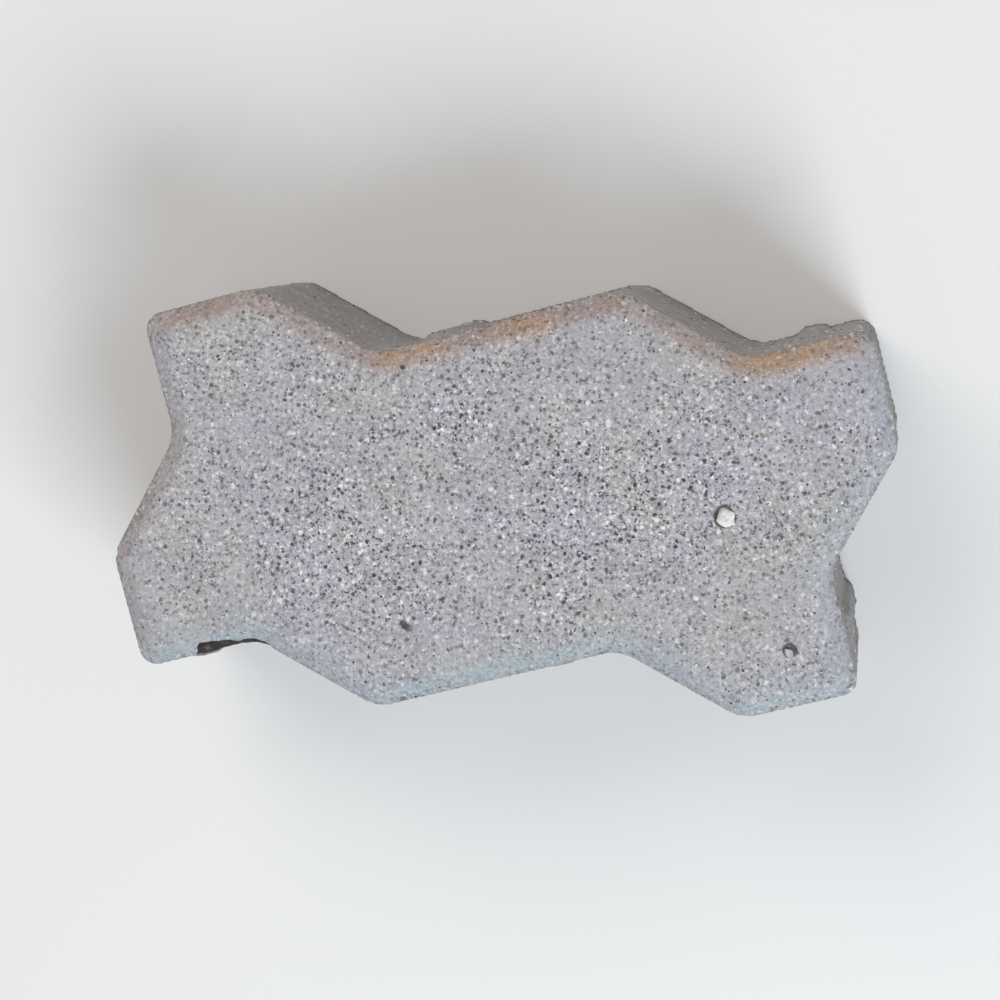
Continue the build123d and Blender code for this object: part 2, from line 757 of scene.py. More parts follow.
    def under_depth(self, tree: GeometryTree, voids: Socket) -> Socket:
        """The relief of the underside: the fine lumps left by the board, and the same voids."""
        lumps = tree.noise(tree.place, self.under_lump_size, 3.0, 0.65)
        return tree.times_plus(voids, tree.given["Side Void"], tree.times(lumps, tree.given["Under Lump"]))


@dataclass
class StoneBlock:
    """The cast block itself, from the frame's solid to the finished mesh."""

    weld: float = 0.002 * MM
    fine_step: float = 0.70 * MM
    bevel_foot_band: Pair = (5.2, 4.0)
    foot_edge: float = 0.1
    bare_depth: Pair = (0.07 * MM, 0.26 * MM)
    soil_and_shade_run: float = 4.5 * MM
    soil_and_shade_top: float = 75.4 * MM
    coarse_lift: float = 0.3
    coarse_drop: float = 6 * MM
    kept_share: float = 0.385
    damage: Damage = field(default_factory=Damage)
    relief: CastRelief = field(default_factory=CastRelief)

    def rim_points(self, mesh: Mesh) -> np.ndarray:
        """Points on the edges that lose crumbs: the bevel's foot and the underside's edge.

        Args:
            mesh: the plain solid.

        Returns:
            The points, in millimetres.
        """
        points = np.array([vertex.co for vertex in mesh.vertices]) / MM
        heights = points[:, 2]
        deepest, highest = (heights.max() - drop for drop in self.bevel_foot_band)
        bevel_foot = (heights > deepest) & (heights < highest)
        ends = []
        for chosen, farthest in ((bevel_foot, 0.5), (heights < self.foot_edge, 1.0)):
            starts = points[chosen]
            gap = np.linalg.norm(starts[np.newaxis, :, :] - starts[:, np.newaxis, :], axis=2)
            np.fill_diagonal(gap, np.inf)
            partners = starts[gap.argmin(axis=1)]
            mix = np.linspace(0, farthest, len(starts))[:, np.newaxis]
            ends.append(starts * (1 - mix) + partners * mix)
        return np.concatenate(ends)

    def plain_copy(self) -> Piece:
        """A merged copy of the frame's solid.

        Returns:
            The copy, as a new object.
        """
        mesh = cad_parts[NODE].data.copy()
        mesh.materials.clear()
        merged = bmesh.new()
        merged.from_mesh(mesh)
        bmesh.ops.remove_doubles(merged, verts=merged.verts, dist=self.weld)
        merged.to_mesh(mesh)
        merged.free()
        return new_piece("cast_stone", mesh)

    def build(self) -> Piece:
        """Break, remesh, press and thin the block.

        Returns:
            The finished block, without its materials.
        """
        stone = self.plain_copy()
        skin = BVHTree.FromObject(stone, bpy.context.evaluated_depsgraph_get())
        losses = self.damage.losses(self.rim_points(stone.data))
        gone = {}
        for mask, (shapes, _) in losses.items():
            gone[mask] = self.damage.shell(mask, shapes)
            cut = stone.modifiers.new(mask, "BOOLEAN")
            cut.object = gone[mask]
            cut.operation = "DIFFERENCE"
            cut.solver = "EXACT"
            cut.use_self = True
        grid = stone.modifiers.new("grid", "REMESH")
        grid.mode = "VOXEL"
        grid.voxel_size = self.fine_step
        grid.use_smooth_shade = True
        settle(stone)
        log.info("fine mesh: %d faces", len(stone.data.polygons))

        bare = self.bareness(stone.data, skin)
        for mask, (_, reach) in losses.items():
            near = np.minimum(1.0, 2.0 * self.nearness(stone.data, gone[mask], reach))
            keep_values(stone.data, mask, bare * near)
        heights = np.array([vertex.co.z for vertex in stone.data.vertices])
        # How near each point lies to the break, below its top: run-down soil with painted shade goes there
        soiled_and_shaded = self.nearness(stone.data, gone["fracture"], self.soil_and_shade_run)
        keep_values(stone.data, "soiled_and_shaded", np.where(heights < self.soil_and_shade_top, soiled_and_shaded, 0.0))
        for shell in gone.values():
            bpy.data.objects.remove(shell)

        self.relief.press(stone)
        self.thin(stone)
        return stone

    def bareness(self, mesh: Mesh, skin: BVHTree) -> np.ndarray:
        """How much each point belongs to the inside of the stone, by its depth below the old skin.

        Args:
            mesh: the cut mesh.
            skin: the surface as it was before.

        Returns:
            0 on the skin and 1 inside, for each point.
        """
        shallow, deep = self.bare_depth
        below = np.array([skin.find_nearest(vertex.co)[3] for vertex in mesh.vertices])
        return np.clip((below - shallow) / (deep - shallow), 0.0, 1.0)

    @staticmethod
    def nearness(mesh: Mesh, gone: Piece, reach: float) -> np.ndarray:
        """How near each point lies to what was cut away.

        Args:
            mesh: the cut mesh.
            gone: what was cut away.
            reach: how far the nearness goes.

        Returns:
            1 on its surface, falling to 0 at the reach, for each point.
        """
        tree = BVHTree.FromObject(gone, bpy.context.evaluated_depsgraph_get())
        gaps = (tree.find_nearest(vertex.co, reach)[3] for vertex in mesh.vertices)
        return np.array([0.0 if gap is None else 1 - gap / reach for gap in gaps])

    def thin(self, stone: Piece) -> None:
        """Thin the mesh on the sides and the underside, where less shows.

        Args:
            stone: the pressed block.
        """
        vertices = stone.data.vertices
        lifts = np.array([vertex.normal.z for vertex in vertices])
        heights = np.array([vertex.co.z for vertex in vertices])
        coarse = (lifts < self.coarse_lift) & (heights < heights.max() - self.coarse_drop)
        group = stone.vertex_groups.new(name="coarse")
        group.add([int(index) for index in np.flatnonzero(coarse)], 1.0, "REPLACE")
        thinning = stone.modifiers.new("thin", "DECIMATE")
        thinning.ratio = self.kept_share
        thinning.vertex_group = group.name
        settle(stone)
        stone.vertex_groups.clear()
        log.info("thinned mesh: %d faces", len(stone.data.polygons))


@dataclass(frozen=True)
class Pebble(Blob):
    """One larger grain that shows in the surface, worn level with it."""

    tone: float = 0.0
    patchiness: float = 0.0
    turn_step: float = 1.1
    worn_top: float = 0.55
    worn_waves: Pair = (3.0, 0.1)
    patch_wave: float = 1.9
    patch_lean: float = 0.45

    def add_to(self, shell: Shapes, tone_layer: bmesh.types.BMLayerItem) -> None:
        """Add the pebble to a mesh.

        Args:
            shell: the mesh that collects the pebbles.
            tone_layer: the layer that keeps how dark each pebble is.
        """
        shift = self.shift()
        spin = Matrix.Rotation(self.seed * self.turn_step, 3, "Z")
        wave, lift = self.worn_waves
        made = bmesh.ops.create_icosphere(shell, subdivisions=3, radius=1.0)
        for vertex in made["verts"]:
            way = vertex.co.normalized()
            reach = self.reach(way)
            reach.z = min(reach.z, self.worn_top * self.radii[2] + lift * noise.noise(way * wave + shift))
            vertex.co = (spin @ reach + Vector(self.place)) * MM
            patch = max(0.0, noise.noise(way * self.patch_wave + shift) + self.patch_lean * way.x)
            vertex[tone_layer] = self.tone + self.patchiness * patch


@dataclass
class ExposedPebbles:
    """The larger grains that the wearing face of this stone shows, in millimetres."""

    name: str = "exposed_pebbles"
    pebbles: tuple[Pebble, ...] = (
        Pebble((69.6, -3.1, 78.8), (3.1, 2.9, 1.8), tone=0.02, seed=2, lumps=0.38, patchiness=0.35),
        Pebble((89.0, -43.4, 78.9), (1.6, 1.25, 1.1), tone=0.22, seed=5, lumps=0.35, patchiness=0.4),
        Pebble((91.7, 6.6, 79.2), (1.1, 0.9, 1.0), tone=0.05, seed=7),
        Pebble((60.9, -27.4, 79.3), (0.9, 0.8, 0.8), tone=0.04, seed=8),
        Pebble((-49.7, 0.4, 79.3), (0.9, 0.7, 0.8), tone=0.06, seed=9),
        Pebble((-31.6, 7.2, 79.3), (0.9, 0.7, 0.7), tone=0.93, seed=10),
        Pebble((-28.5, 40.8, 79.3), (0.8, 0.7, 0.7), tone=0.95, seed=11),
        Pebble((9.4, 12.5, 79.3), (0.8, 0.8, 0.7), tone=0.97, seed=12),
        Pebble((52.3, 20.0, 79.3), (0.9, 0.8, 0.7), tone=0.94, seed=13),
        Pebble((49.5, 0.8, 79.3), (0.7, 0.8, 0.7), tone=0.96, seed=14),
        Pebble((14.4, 0.5, 79.3), (0.8, 0.6, 0.7), tone=0.93, seed=15),
    )

    def build(self) -> Piece:
        """Make the pebbles in one mesh.

        Returns:
            The pebbles, without their material.
        """
        collected = bmesh.new()
        tone_layer = collected.verts.layers.float.new("tone")
        for pebble in self.pebbles:
            pebble.add_to(collected, tone_layer)
        made = collected_piece(self.name, collected)
        made.data.shade_smooth()
        return made


@dataclass
class GrainScatter:
    """Grains bedded in one kind of surface: how many to the square millimetre, how large, how deep."""

    name: str
    mask: str
    density: float
    radius: Pair
    bedding: float
    facets: int
    seed: int
    flatness: float = 0.6
    patchiness: float = 0.6
    thinnest: float = 0.60
    least_shape: Point = (0.7, 0.7, 0.85)
    most_shape: Point = (1.25, 1.25, 1.1)

    def random(self, tree: GeometryTree, low: object, high: object, draw: Draw) -> Socket:
        """A random number or vector for each grain.

        Args:
            tree: the tree being built.
            low: the lowest value.
            high: the highest value.
            draw: what it is for.

        Returns:
            The value.
        """
        kind, first, result = ("FLOAT_VECTOR", 0, 0) if isinstance(low, tuple) else ("FLOAT", 2, 1)
        inputs = {first: low, first + 1: high, "Seed": self.seed * 10 + draw.value}
        return tree.add("FunctionNodeRandomValue", inputs, data_type=kind).outputs[result]

    def points(self, tree: GeometryTree) -> bpy.types.Node:
        """Where the grains lie: thicker where the mask is strong, and in clouds.

        Args:
            tree: the tree being built.

        Returns:
            The node that lays the points.
        """
        mask = tree.add("GeometryNodeInputNamedAttribute", {"Name": self.mask}).outputs[0]
        clouds = tree.ramp(tree.noise(tree.place, PATCH_SIZE * MM, 2.0), *PATCH_SPAN)
        thick = tree.times_plus(clouds, self.patchiness, self.thinnest)
        density = tree.times(tree.given["Density"], mask, thick)
        inputs = {"Mesh": tree.given["Geometry"], "Density": density, "Seed": self.seed}
        return tree.add("GeometryNodeDistributePointsOnFaces", inputs, distribute_method="RANDOM")

    def build(self, bed: Piece, finish: Material) -> Piece:
        """Lay the grains on the stone.

        Args:
            bed: the finished block.
            finish: the grains' material.

        Returns:
            The grains in one mesh.
        """
        sizes = {
            "Density": self.density / MM**2,
            "Smallest": self.radius[0] * MM,
            "Largest": self.radius[1] * MM,
            "Bedding": self.bedding,
            "Flatness": self.flatness,
        }
        tree = GeometryTree(self.name, sizes)
        spread = self.points(tree).outputs
        size = self.random(tree, 0.0, 1.0, Draw.SIZE)
        span = tree.math("SUBTRACT", tree.given["Largest"], tree.given["Smallest"])
        radius = tree.times_plus(tree.times(size, size), span, tree.given["Smallest"])
        drop = tree.scaled(spread["Normal"], tree.times(radius, tree.given["Bedding"], -1.0))
        bedded = tree.add("GeometryNodeSetPosition", {"Geometry": spread["Points"], "Offset": drop})

        grain = tree.add("GeometryNodeMeshIcoSphere", {"Radius": 1.0, "Subdivisions": self.facets})
        angle = self.random(tree, 0.0, math.tau, Draw.TURN)
        spin = tree.add("FunctionNodeAxisAngleToRotation", {"Axis": (0.0, 0.0, 1.0), "Angle": angle})
        turning = {0: spread["Rotation"], 1: spin.outputs[0]}
        turned = tree.add("FunctionNodeRotateRotation", turning, rotation_space="LOCAL")
        flat = tree.add("ShaderNodeCombineXYZ", {0: 1.0, 1: 1.0, 2: tree.given["Flatness"]}).outputs[0]
        uneven = self.random(tree, self.least_shape, self.most_shape, Draw.SHAPE)
        laying = {
            "Points": bedded.outputs[0],
            "Instance": grain.outputs["Mesh"],
            "Rotation": turned.outputs[0],
            "Scale": tree.scaled(tree.vector("MULTIPLY", uneven, flat), radius),
        }
        laid = tree.add("GeometryNodeInstanceOnPoints", laying).outputs[0]
        toned = tree.marked(laid, "tone", self.random(tree, 0.0, 1.0, Draw.TONE), "INSTANCE")
        real = tree.add("GeometryNodeRealizeInstances", {"Geometry": toned}).outputs[0]
        dressed = tree.add("GeometryNodeSetMaterial", {"Geometry": real, "Material": finish})

        grains = new_piece(self.name, bed.data.copy())
        tree.run_on(grains, dressed.outputs[0])
        log.info("%s: %d faces", self.name, len(grains.data.polygons))
        return grains


@dataclass
class SharedEffects:
    """The effects that the stone's finishes share, each a node group built once, in millimetres."""

    # Clouds of tinted cement: the tint, their size, where the noise makes a cloud, and their shift
    tints: tuple[tuple[str, float, Pair, Point], ...] = (
        ("Cool", 34.0, (0.42, 0.66), (0.0, 0.0, 0.0)),
        ("Warm", 26.0, (0.46, 0.70), (310.0, 120.0, 40.0)),
    )
    cloud_size: float = 13.0
    cloud_shade: Pair = (0.86, 1.14)
    sand_wobble: float = 1.3
    sand_bend: float = 1.3
    sand_shade: Pair = (0.9, 1.1)
    # Grit and fine sand: the colour, the number at which it starts and is complete, and its strength
    grit_size: float = 1.4
    grit_kinds: Kinds = (("Pale", 0.53, 0.66, 0.62), ("Dark", 0.47, 0.33, 0.76))
    fine_size: float = 1.35
    fine_height: Pair = (0.62, 0.12)
    fine_body: Pair = (0.55, 0.25)
    fine_kinds: Kinds = (("Pale", 0.72, 0.95, 0.70), ("Dark", 0.28, 0.08, 0.84))
    # Coarse sand: the colour, and the span of random numbers that has it
    coarse_size: float = 2.1
    coarse_shift: Point = (40.0, 7.0, 3.0)
    coarse_body: Pair = (0.40, 0.25)
    coarse_strength: float = 0.85
    coarse_kinds: Kinds = (("Dark", 0.0, 0.24), ("Pale", 0.24, 0.33), ("Rusty", 0.33, 0.37))
    gravel_wobble: float = 0.8
    gravel_bend: float = 3.0
    gravel_size: float = 2.6
    gravel_body: Pair = (0.46, 0.34)
    gravel_picked: Pair = (0.45, 0.75)
    gravel_strength: float = 0.8
    gravel_lift: float = 0.4
    paste_size: float = 1.1
    paste_shade: Pair = (0.6, 1.3)
    soil_size: float = 4.2
    soil_span: Pair = (0.42, 0.66)
    soil_strength: float = 0.8

    def __post_init__(self) -> None:
        """Build the groups."""
        self.mottle = self.cement_mottle()
        self.grain = self.sand_grain()
        self.broken = self.broken_concrete()

    def cement_mottle(self) -> Tree:
        """Soft clouds of cooler, warmer, paler and darker cement.

        Returns:
            The group.
        """
        group = EffectGroup("cement_mottle", "Ground Cool Warm", "Strength", {"Color": "Color"})
        colour = group.given["Ground"]
        for kind, size, span, shift in self.tints:
            tint = group.ramp(group.noise(group.vector("ADD", group.place, shift), size, 3.0), *span)
            colour = group.blend(group.times(tint, group.given["Strength"]), colour, group.given[kind])
        clouds = group.noise(group.place, self.cloud_size, 4.0, 0.6)
        return group.closed(Color=group.scaled(colour, group.carried(clouds, NOISE_HALF, self.cloud_shade)))

    @staticmethod
    def specked(group: EffectGroup, colour: Socket, pick: Socket, amount: Socket, kinds: Kinds) -> Socket:
        """A colour with pale and dark specks in it.

        Args:
            group: the group being built.
            colour: the colour without them.
            pick: the number that says which kind lies where.
            amount: how much of them there is.
            kinds: the kinds.

        Returns:
            The colour with them.
        """
        for kind, low, high, strength in kinds:
            seen = group.times(group.ramp(pick, low, high), amount, strength)
            colour = group.blend(seen, colour, group.given[kind])
        return colour

    def sand_grain(self) -> Tree:
        """Sand that shows through the cement: a mosaic of fine grains, and some larger ones.

        Returns:
            The group.
        """
        outputs = {"Color": "Color", "Height": "Float"}
        group = EffectGroup("sand_grain", "Ground Pale Dark Rusty", "Amount", outputs)
        amount = group.given["Amount"]
        wobble = group.wobble(group.place, self.sand_wobble, 2.0)
        bent = group.bent(group.place, wobble, self.sand_bend)
        shade = group.carried(group.parts(wobble)[1], NOISE_CORE, self.sand_shade)
        colour = group.scaled(group.given["Ground"], shade)
        grit = group.noise(bent, self.grit_size, 3.0, 0.72)
        colour = self.specked(group, colour, grit, amount, self.grit_kinds)

        distance, pick = group.cells(bent, self.fine_size)
        height = group.ramp(distance, *self.fine_height)
        body = group.times(group.ramp(distance, *self.fine_body), amount)
        colour = self.specked(group, colour, pick, body, self.fine_kinds)

        coarse_place = group.vector("ADD", bent, self.coarse_shift)
        distance, pick = group.cells(coarse_place, self.coarse_size)
        body = group.times(group.ramp(distance, *self.coarse_body), amount)
        for kind, low, high in self.coarse_kinds:
            above = group.math("GREATER_THAN", pick, low)
            chosen = group.times(above, group.math("LESS_THAN", pick, high))
            seen = group.times(chosen, body, self.coarse_strength)
            colour = group.blend(seen, colour, group.given[kind])
        return group.closed(Color=colour, Height=height)

    def broken_concrete(self) -> Tree:
        """The inside of the concrete: dull paste with coarse grains and soil, in dark colours that carry
        painted shade.

        Returns:
            The group.
        """
        outputs = {"Color": "Color", "Height": "Float"}
        group = EffectGroup("broken_concrete", "Paste Gravel Soil", "", outputs)
        given = group.given
        wobble = group.wobble(group.place, self.gravel_wobble, 3.0)
        distance, pick = group.cells(group.bent(group.place, wobble, self.gravel_bend), self.gravel_size)
        gravel = group.times(group.ramp(distance, *self.gravel_body), group.ramp(pick, *self.gravel_picked))
        rough = group.noise(group.place, self.paste_size, 4.0, 0.7)
        colour = group.blend(group.times(gravel, self.gravel_strength), given["Paste"], given["Gravel"])
        soil = group.ramp(group.noise(group.place, self.soil_size, 3.0, 0.6), *self.soil_span)
        colour = group.blend(group.times(soil, self.soil_strength), colour, given["Soil"])
        colour = group.scaled(colour, group.carried(rough, NOISE_HALF, self.paste_shade))
        return group.closed(Color=colour, Height=group.times_plus(gravel, self.gravel_lift, rough))


class FinishGraph(NodeGraph):
    """The nodes of one material."""

    def __init__(self, name: str) -> None:
        """Start the material, with its shader, and the place on the piece in metres and millimetres.

        Args:
            name: its name.
        """
        self.material = bpy.data.materials.new(name)
        self.material.use_nodes = True
        super().__init__(self.material.node_tree)
        self.tree.nodes.clear()
        self.shader = self.add("ShaderNodeBsdfPrincipled")
        self.output = self.add("ShaderNodeOutputMaterial", {"Surface": self.shader.outputs[0]})
        self.metres = self.add("ShaderNodeTexCoord").outputs["Object"]
        self.place = self.scaled(self.metres, 1 / MM)

    def attribute(self, name: str) -> Socket:
        """A number kept on the piece's own mesh."""
        return self.add("ShaderNodeAttribute", attribute_name=name).outputs["Fac"]

    def effect(self, group: Tree, **inputs: object) -> bpy.types.NodeOutputs:
        """The outputs of a shared effect, placed with this material's own values."""
        return self.add("ShaderNodeGroup", {"Place": self.place, **inputs}, node_tree=group).outputs

    def dressed(self, colour: Socket, shine: Socket, height: Socket, tooth: Pair) -> Material:
        """Give the shader what changes over the surface.

        Args:
            colour: the colour.
            shine: the roughness.
            height: the fine height.
            tooth: how strongly the height shows, and how deep it is.

        Returns:
            The material.
        """
        strength, depth = tooth
        bump = self.add("ShaderNodeBump", {"Strength": strength, "Distance": depth, "Height": height})
        self.feed(self.shader.inputs["Base Color"], colour)
        self.feed(self.shader.inputs["Roughness"], shine)
        self.feed(self.shader.inputs["Normal"], bump.outputs[0])
        return self.material


@dataclass(frozen=True)
class ConcreteFinish:
    """The skin of the concrete on one kind of surface. Its sizes and places are in millimetres."""

    name: str
    ground: Colour = (0.389, 0.387, 0.418, 1.0)
    cool: Colour = (0.380, 0.372, 0.432, 1.0)
    warm: Colour = (0.398, 0.401, 0.385, 1.0)
    mottling: float = 0.8
    pale: Colour = (0.78, 0.77, 0.76, 1.0)
    dark: Colour = (0.055, 0.055, 0.062, 1.0)
    rusty: Colour = (0.27, 0.205, 0.16, 1.0)
    sand: float = 1.0
    bevel_sand: float = 0.42
    # How much sand shows: what patches and wear add, and what is there without them
    patch_sand: Pair = (0.35, 0.75)
    worn_sand: Pair = (0.33, 0.80)
    # On the bevels that face the far side: partly real dust, partly painted warm light and shade
    dust_and_warm_light: Colour = (0.385, 0.300, 0.278, 1.0)
    dust_and_warm_light_strength: float = 1.35
    ochre: Colour = (0.46, 0.315, 0.215, 1.0)
    # Where the dust and painted warm light turn ochre, with the radius of each place
    ochre_spots: tuple[Point, ...] = (
        (-26.0, 43.0, 17.0),
        (8.0, 50.0, 15.0),
        (79.0, 42.0, 14.0),
        (99.0, 45.0, 17.0),
    )
    ochre_core: float = 0.25
    # Painted light: a cool sky-light tint laid on the bevels that face the near side
    painted_sky_light: Colour = (0.338, 0.388, 0.425, 1.0)
    painted_sky_light_strength: float = 1.1
    # Clouds that make the dust with painted warm light, the painted sky light and the darker foot uneven
    tint_cloud_size: float = 12.0
    tint_cloud_span: Pair = (0.3, 0.65)
    tint_cloud_strength: Pair = (0.5, 1.15)
    # Darker and browner from the bevels' foot down, over the sides and the underside
    foot_dark: Colour = (0.20, 0.17, 0.155, 1.0)
    foot_darkness: float = 0.45
    foot_dark_band: Pair = (77.6, 74.8)
    # Soil run down below the break, darkened further with painted shade
    run_soil_and_shade: Colour = (0.060, 0.046, 0.040, 1.0)
    run_size: float = 1.7
    run_shape: Point = (1.0, 1.0, 0.35)
    run_unevenness: float = 2.2
    run_span: Pair = (0.30, 0.95)
    run_strength: float = 0.85
    crumb: Colour = (0.17, 0.155, 0.15, 1.0)
    crumb_strength: float = 0.35
    # Painted shade: pits, side voids and the gaps round the sockets are painted near-black
    pit: Colour = (0.048, 0.046, 0.045, 1.0)
    pit_shade_strength: float = 0.7
    socket_shade_strength: float = 0.85
    roughness: float = 0.86
    roughness_spread: float = 0.2
    gloss: float = 0.35
    wear_size: float = 9.0
    tooth: float = 0.8
    tooth_size: float = 0.7
    tooth_depth: float = 0.26 * MM
    grain_lift: float = 0.6

    def material(self, effects: SharedEffects) -> Material:
        """Build the material.

        Args:
            effects: the shared node groups.

        Returns:
            The material.
        """
        graph = FinishGraph(self.name)
        colour, height = self.surface(graph, effects)
        wear = graph.noise(graph.place, self.wear_size, 2.0)
        smoothest = self.roughness - self.roughness_spread / 2
        shine = graph.times_plus(wear, self.roughness_spread, smoothest, clamp=True)
        graph.shader.inputs["Specular IOR Level"].default_value = self.gloss
        return graph.dressed(colour, shine, height, (self.tooth, self.tooth_depth))

    def surface(self, graph: FinishGraph, effects: SharedEffects) -> tuple[Socket, Socket]:
        """The colour and the fine height of the skin.

        Args:
            graph: the material's graph.
            effects: the shared node groups.

        Returns:
            The colour and the height.
        """
        cement = {"Ground": self.ground, "Cool": self.cool, "Warm": self.warm, "Strength": self.mottling}
        colour = self.stains_and_painted_light(graph, graph.effect(effects.mottle, **cement)["Color"])
        patches = graph.ramp(graph.noise(graph.place, PATCH_SIZE, 2.0), *PATCH_SPAN)
        patchy = graph.times_plus(patches, *self.patch_sand)
        opened = graph.times_plus(graph.attribute("worn"), *self.worn_sand)
        smoother = graph.times_plus(graph.attribute("near_bevel"), self.bevel_sand - 1.0, 1.0)
        amount = graph.times(patchy, opened, smoother, self.sand)
        sand = {"Pale": self.pale, "Dark": self.dark, "Rusty": self.rusty, "Amount": amount}
        grain = graph.effect(effects.grain, Ground=colour, **sand)
        # Darker where crumbs have come off the edges
        crumb_darkening = graph.times(graph.attribute("crumbled"), self.crumb_strength)
        colour = graph.blend(crumb_darkening, grain["Color"], self.crumb)
        # Painted shade in the pits, the voids and the sockets
        pits = graph.times(graph.attribute("hollow"), self.pit_shade_strength)
        sockets = graph.times(graph.attribute("socket"), self.socket_shade_strength)
        colour = graph.blend(graph.math("MAXIMUM", pits, sockets), colour, self.pit)
        tooth = graph.noise(graph.place, self.tooth_size, 2.0, 0.6)
        return colour, graph.times_plus(grain["Height"], self.grain_lift, tooth)

    def stains_and_painted_light(self, graph: FinishGraph, colour: Socket) -> Socket:
        """Dust with painted warm light on the far bevels, painted cool sky light on the near ones, darker
        and browner below the bevels' foot, and run-down soil with painted shade.

        Args:
            graph: the material's graph.
            colour: the clean colour.

        Returns:
            The colour with its stains and its painted light and shade.
        """
        turned = graph.attribute("turned")
        cloud = graph.noise(graph.place, self.tint_cloud_size, 5.0, 0.7)
        uneven = graph.carried(cloud, self.tint_cloud_span, self.tint_cloud_strength)
        dust_and_warm_light_share = graph.times(turned, self.dust_and_warm_light_strength, uneven, clamp=True)
        painted_sky_light_share = graph.times(turned, -self.painted_sky_light_strength, uneven, clamp=True)
        foot = graph.ramp(graph.parts(graph.place)[2], *self.foot_dark_band)
        foot_darkening = graph.times(foot, self.foot_darkness, uneven, clamp=True)
        flat = graph.vector("MULTIPLY", graph.place, FLAT)
        rusted = 0.0
        for x, y, radius in self.ochre_spots:
            distance = graph.vector("DISTANCE", flat, (x, y, 0.0), output=1)
            rusted = graph.math("MAXIMUM", rusted, graph.ramp(distance, radius, self.ochre_core * radius))
        dust_and_warm_light = graph.blend(graph.times(rusted, uneven), self.dust_and_warm_light, self.ochre)
        colour = graph.blend(painted_sky_light_share, graph.blend(dust_and_warm_light_share, colour, dust_and_warm_light), self.painted_sky_light)
        colour = graph.blend(foot_darkening, colour, self.foot_dark)
        streaks = graph.noise(graph.vector("MULTIPLY", graph.place, self.run_shape), self.run_size, 4.0, 0.7)
        streaks = graph.math("SUBTRACT", streaks, 0.5)
        run = graph.times_plus(streaks, self.run_unevenness, graph.attribute("soiled_and_shaded"))
        soil_and_shade_share = graph.times(graph.ramp(run, *self.run_span), self.run_strength)
        return graph.blend(soil_and_shade_share, colour, self.run_soil_and_shade)


@dataclass(frozen=True)
class BrokenFinish(ConcreteFinish):
    """The inside of the concrete where a piece has burst off, dark with soil and painted shade, and the skin
    round it.
    """

    name: str = "broken_concrete"
    # The break's colours are dark with soil and with painted shade
    paste: Colour = (0.044, 0.034, 0.032, 1.0)
    gravel: Colour = (0.13, 0.105, 0.096, 1.0)
    soil: Colour = (0.014, 0.0105, 0.010, 1.0)
    crumble_size: float = 0.9
    crumble: float = 0.7
    edge_span: Pair = (0.30, 0.62)

    def surface(self, graph: FinishGraph, effects: SharedEffects) -> tuple[Socket, Socket]:
        """The colour and the fine height of the break and of the skin round it.

        Args:
            graph: the material's graph.
            effects: the shared node groups.

        Returns:
            The colour and the height.
        """
        colour, height = super().surface(graph, effects)
        broken = graph.effect(effects.broken, Paste=self.paste, Gravel=self.gravel, Soil=self.soil)
        ragged = graph.noise(graph.place, self.crumble_size, 2.0)
        ragged = graph.times_plus(ragged, self.crumble, -self.crumble / 2)
        edge = graph.math("ADD", graph.attribute("fracture"), ragged)
        edge = graph.ramp(edge, *self.edge_span)
        height = graph.times_plus(edge, broken["Height"], height)
        return graph.blend(edge, colour, broken["Color"]), height


@dataclass(frozen=True)
class GrainFinish:
    """Bare mineral grains, from clear quartz to dark basalt."""

    name: str = "mineral_grains"
    steps: tuple[tuple[float, Colour], ...] = (
        (0.0, (0.78, 0.77, 0.74, 1.0)),
        (0.10, (0.62, 0.61, 0.60, 1.0)),
        (0.30, (0.45, 0.44, 0.45, 1.0)),
        (0.60, (0.35, 0.34, 0.36, 1.0)),
        (0.68, (0.28, 0.22, 0.17, 1.0)),
        (0.76, (0.17, 0.16, 0.17, 1.0)),
        (0.90, (0.06, 0.06, 0.07, 1.0)),
        (1.0, (0.035, 0.035, 0.04, 1.0)),
    )
    vein_size: float = 0.8
    vein_shade: Pair = (0.8, 1.12)
    roughness: float = 0.62
    roughness_spread: float = 0.3
    tooth: Pair = (0.3, 0.05 * MM)

    def material(self) -> Material:
        """Build the material.

        Returns:
            The material.
        """
        graph = FinishGraph(self.name)
        ramp = graph.add("ShaderNodeValToRGB", {0: graph.attribute("tone")})
        ramp.color_ramp.interpolation = "LINEAR"
        stops = ramp.color_ramp.elements
        while len(stops) < len(self.steps):
            stops.new(0.5)
        for stop, (position, colour) in zip(stops, self.steps):
            stop.position = position
            stop.color = colour
        veins = graph.noise(graph.place, self.vein_size, 3.0, 0.6)
        shade = graph.carried(veins, NOISE_CORE, self.vein_shade)
        smoothest = self.roughness - self.roughness_spread / 2
        shine = graph.times_plus(veins, self.roughness_spread, smoothest)
        return graph.dressed(graph.scaled(ramp.outputs[0], shade), shine, veins, self.tooth)


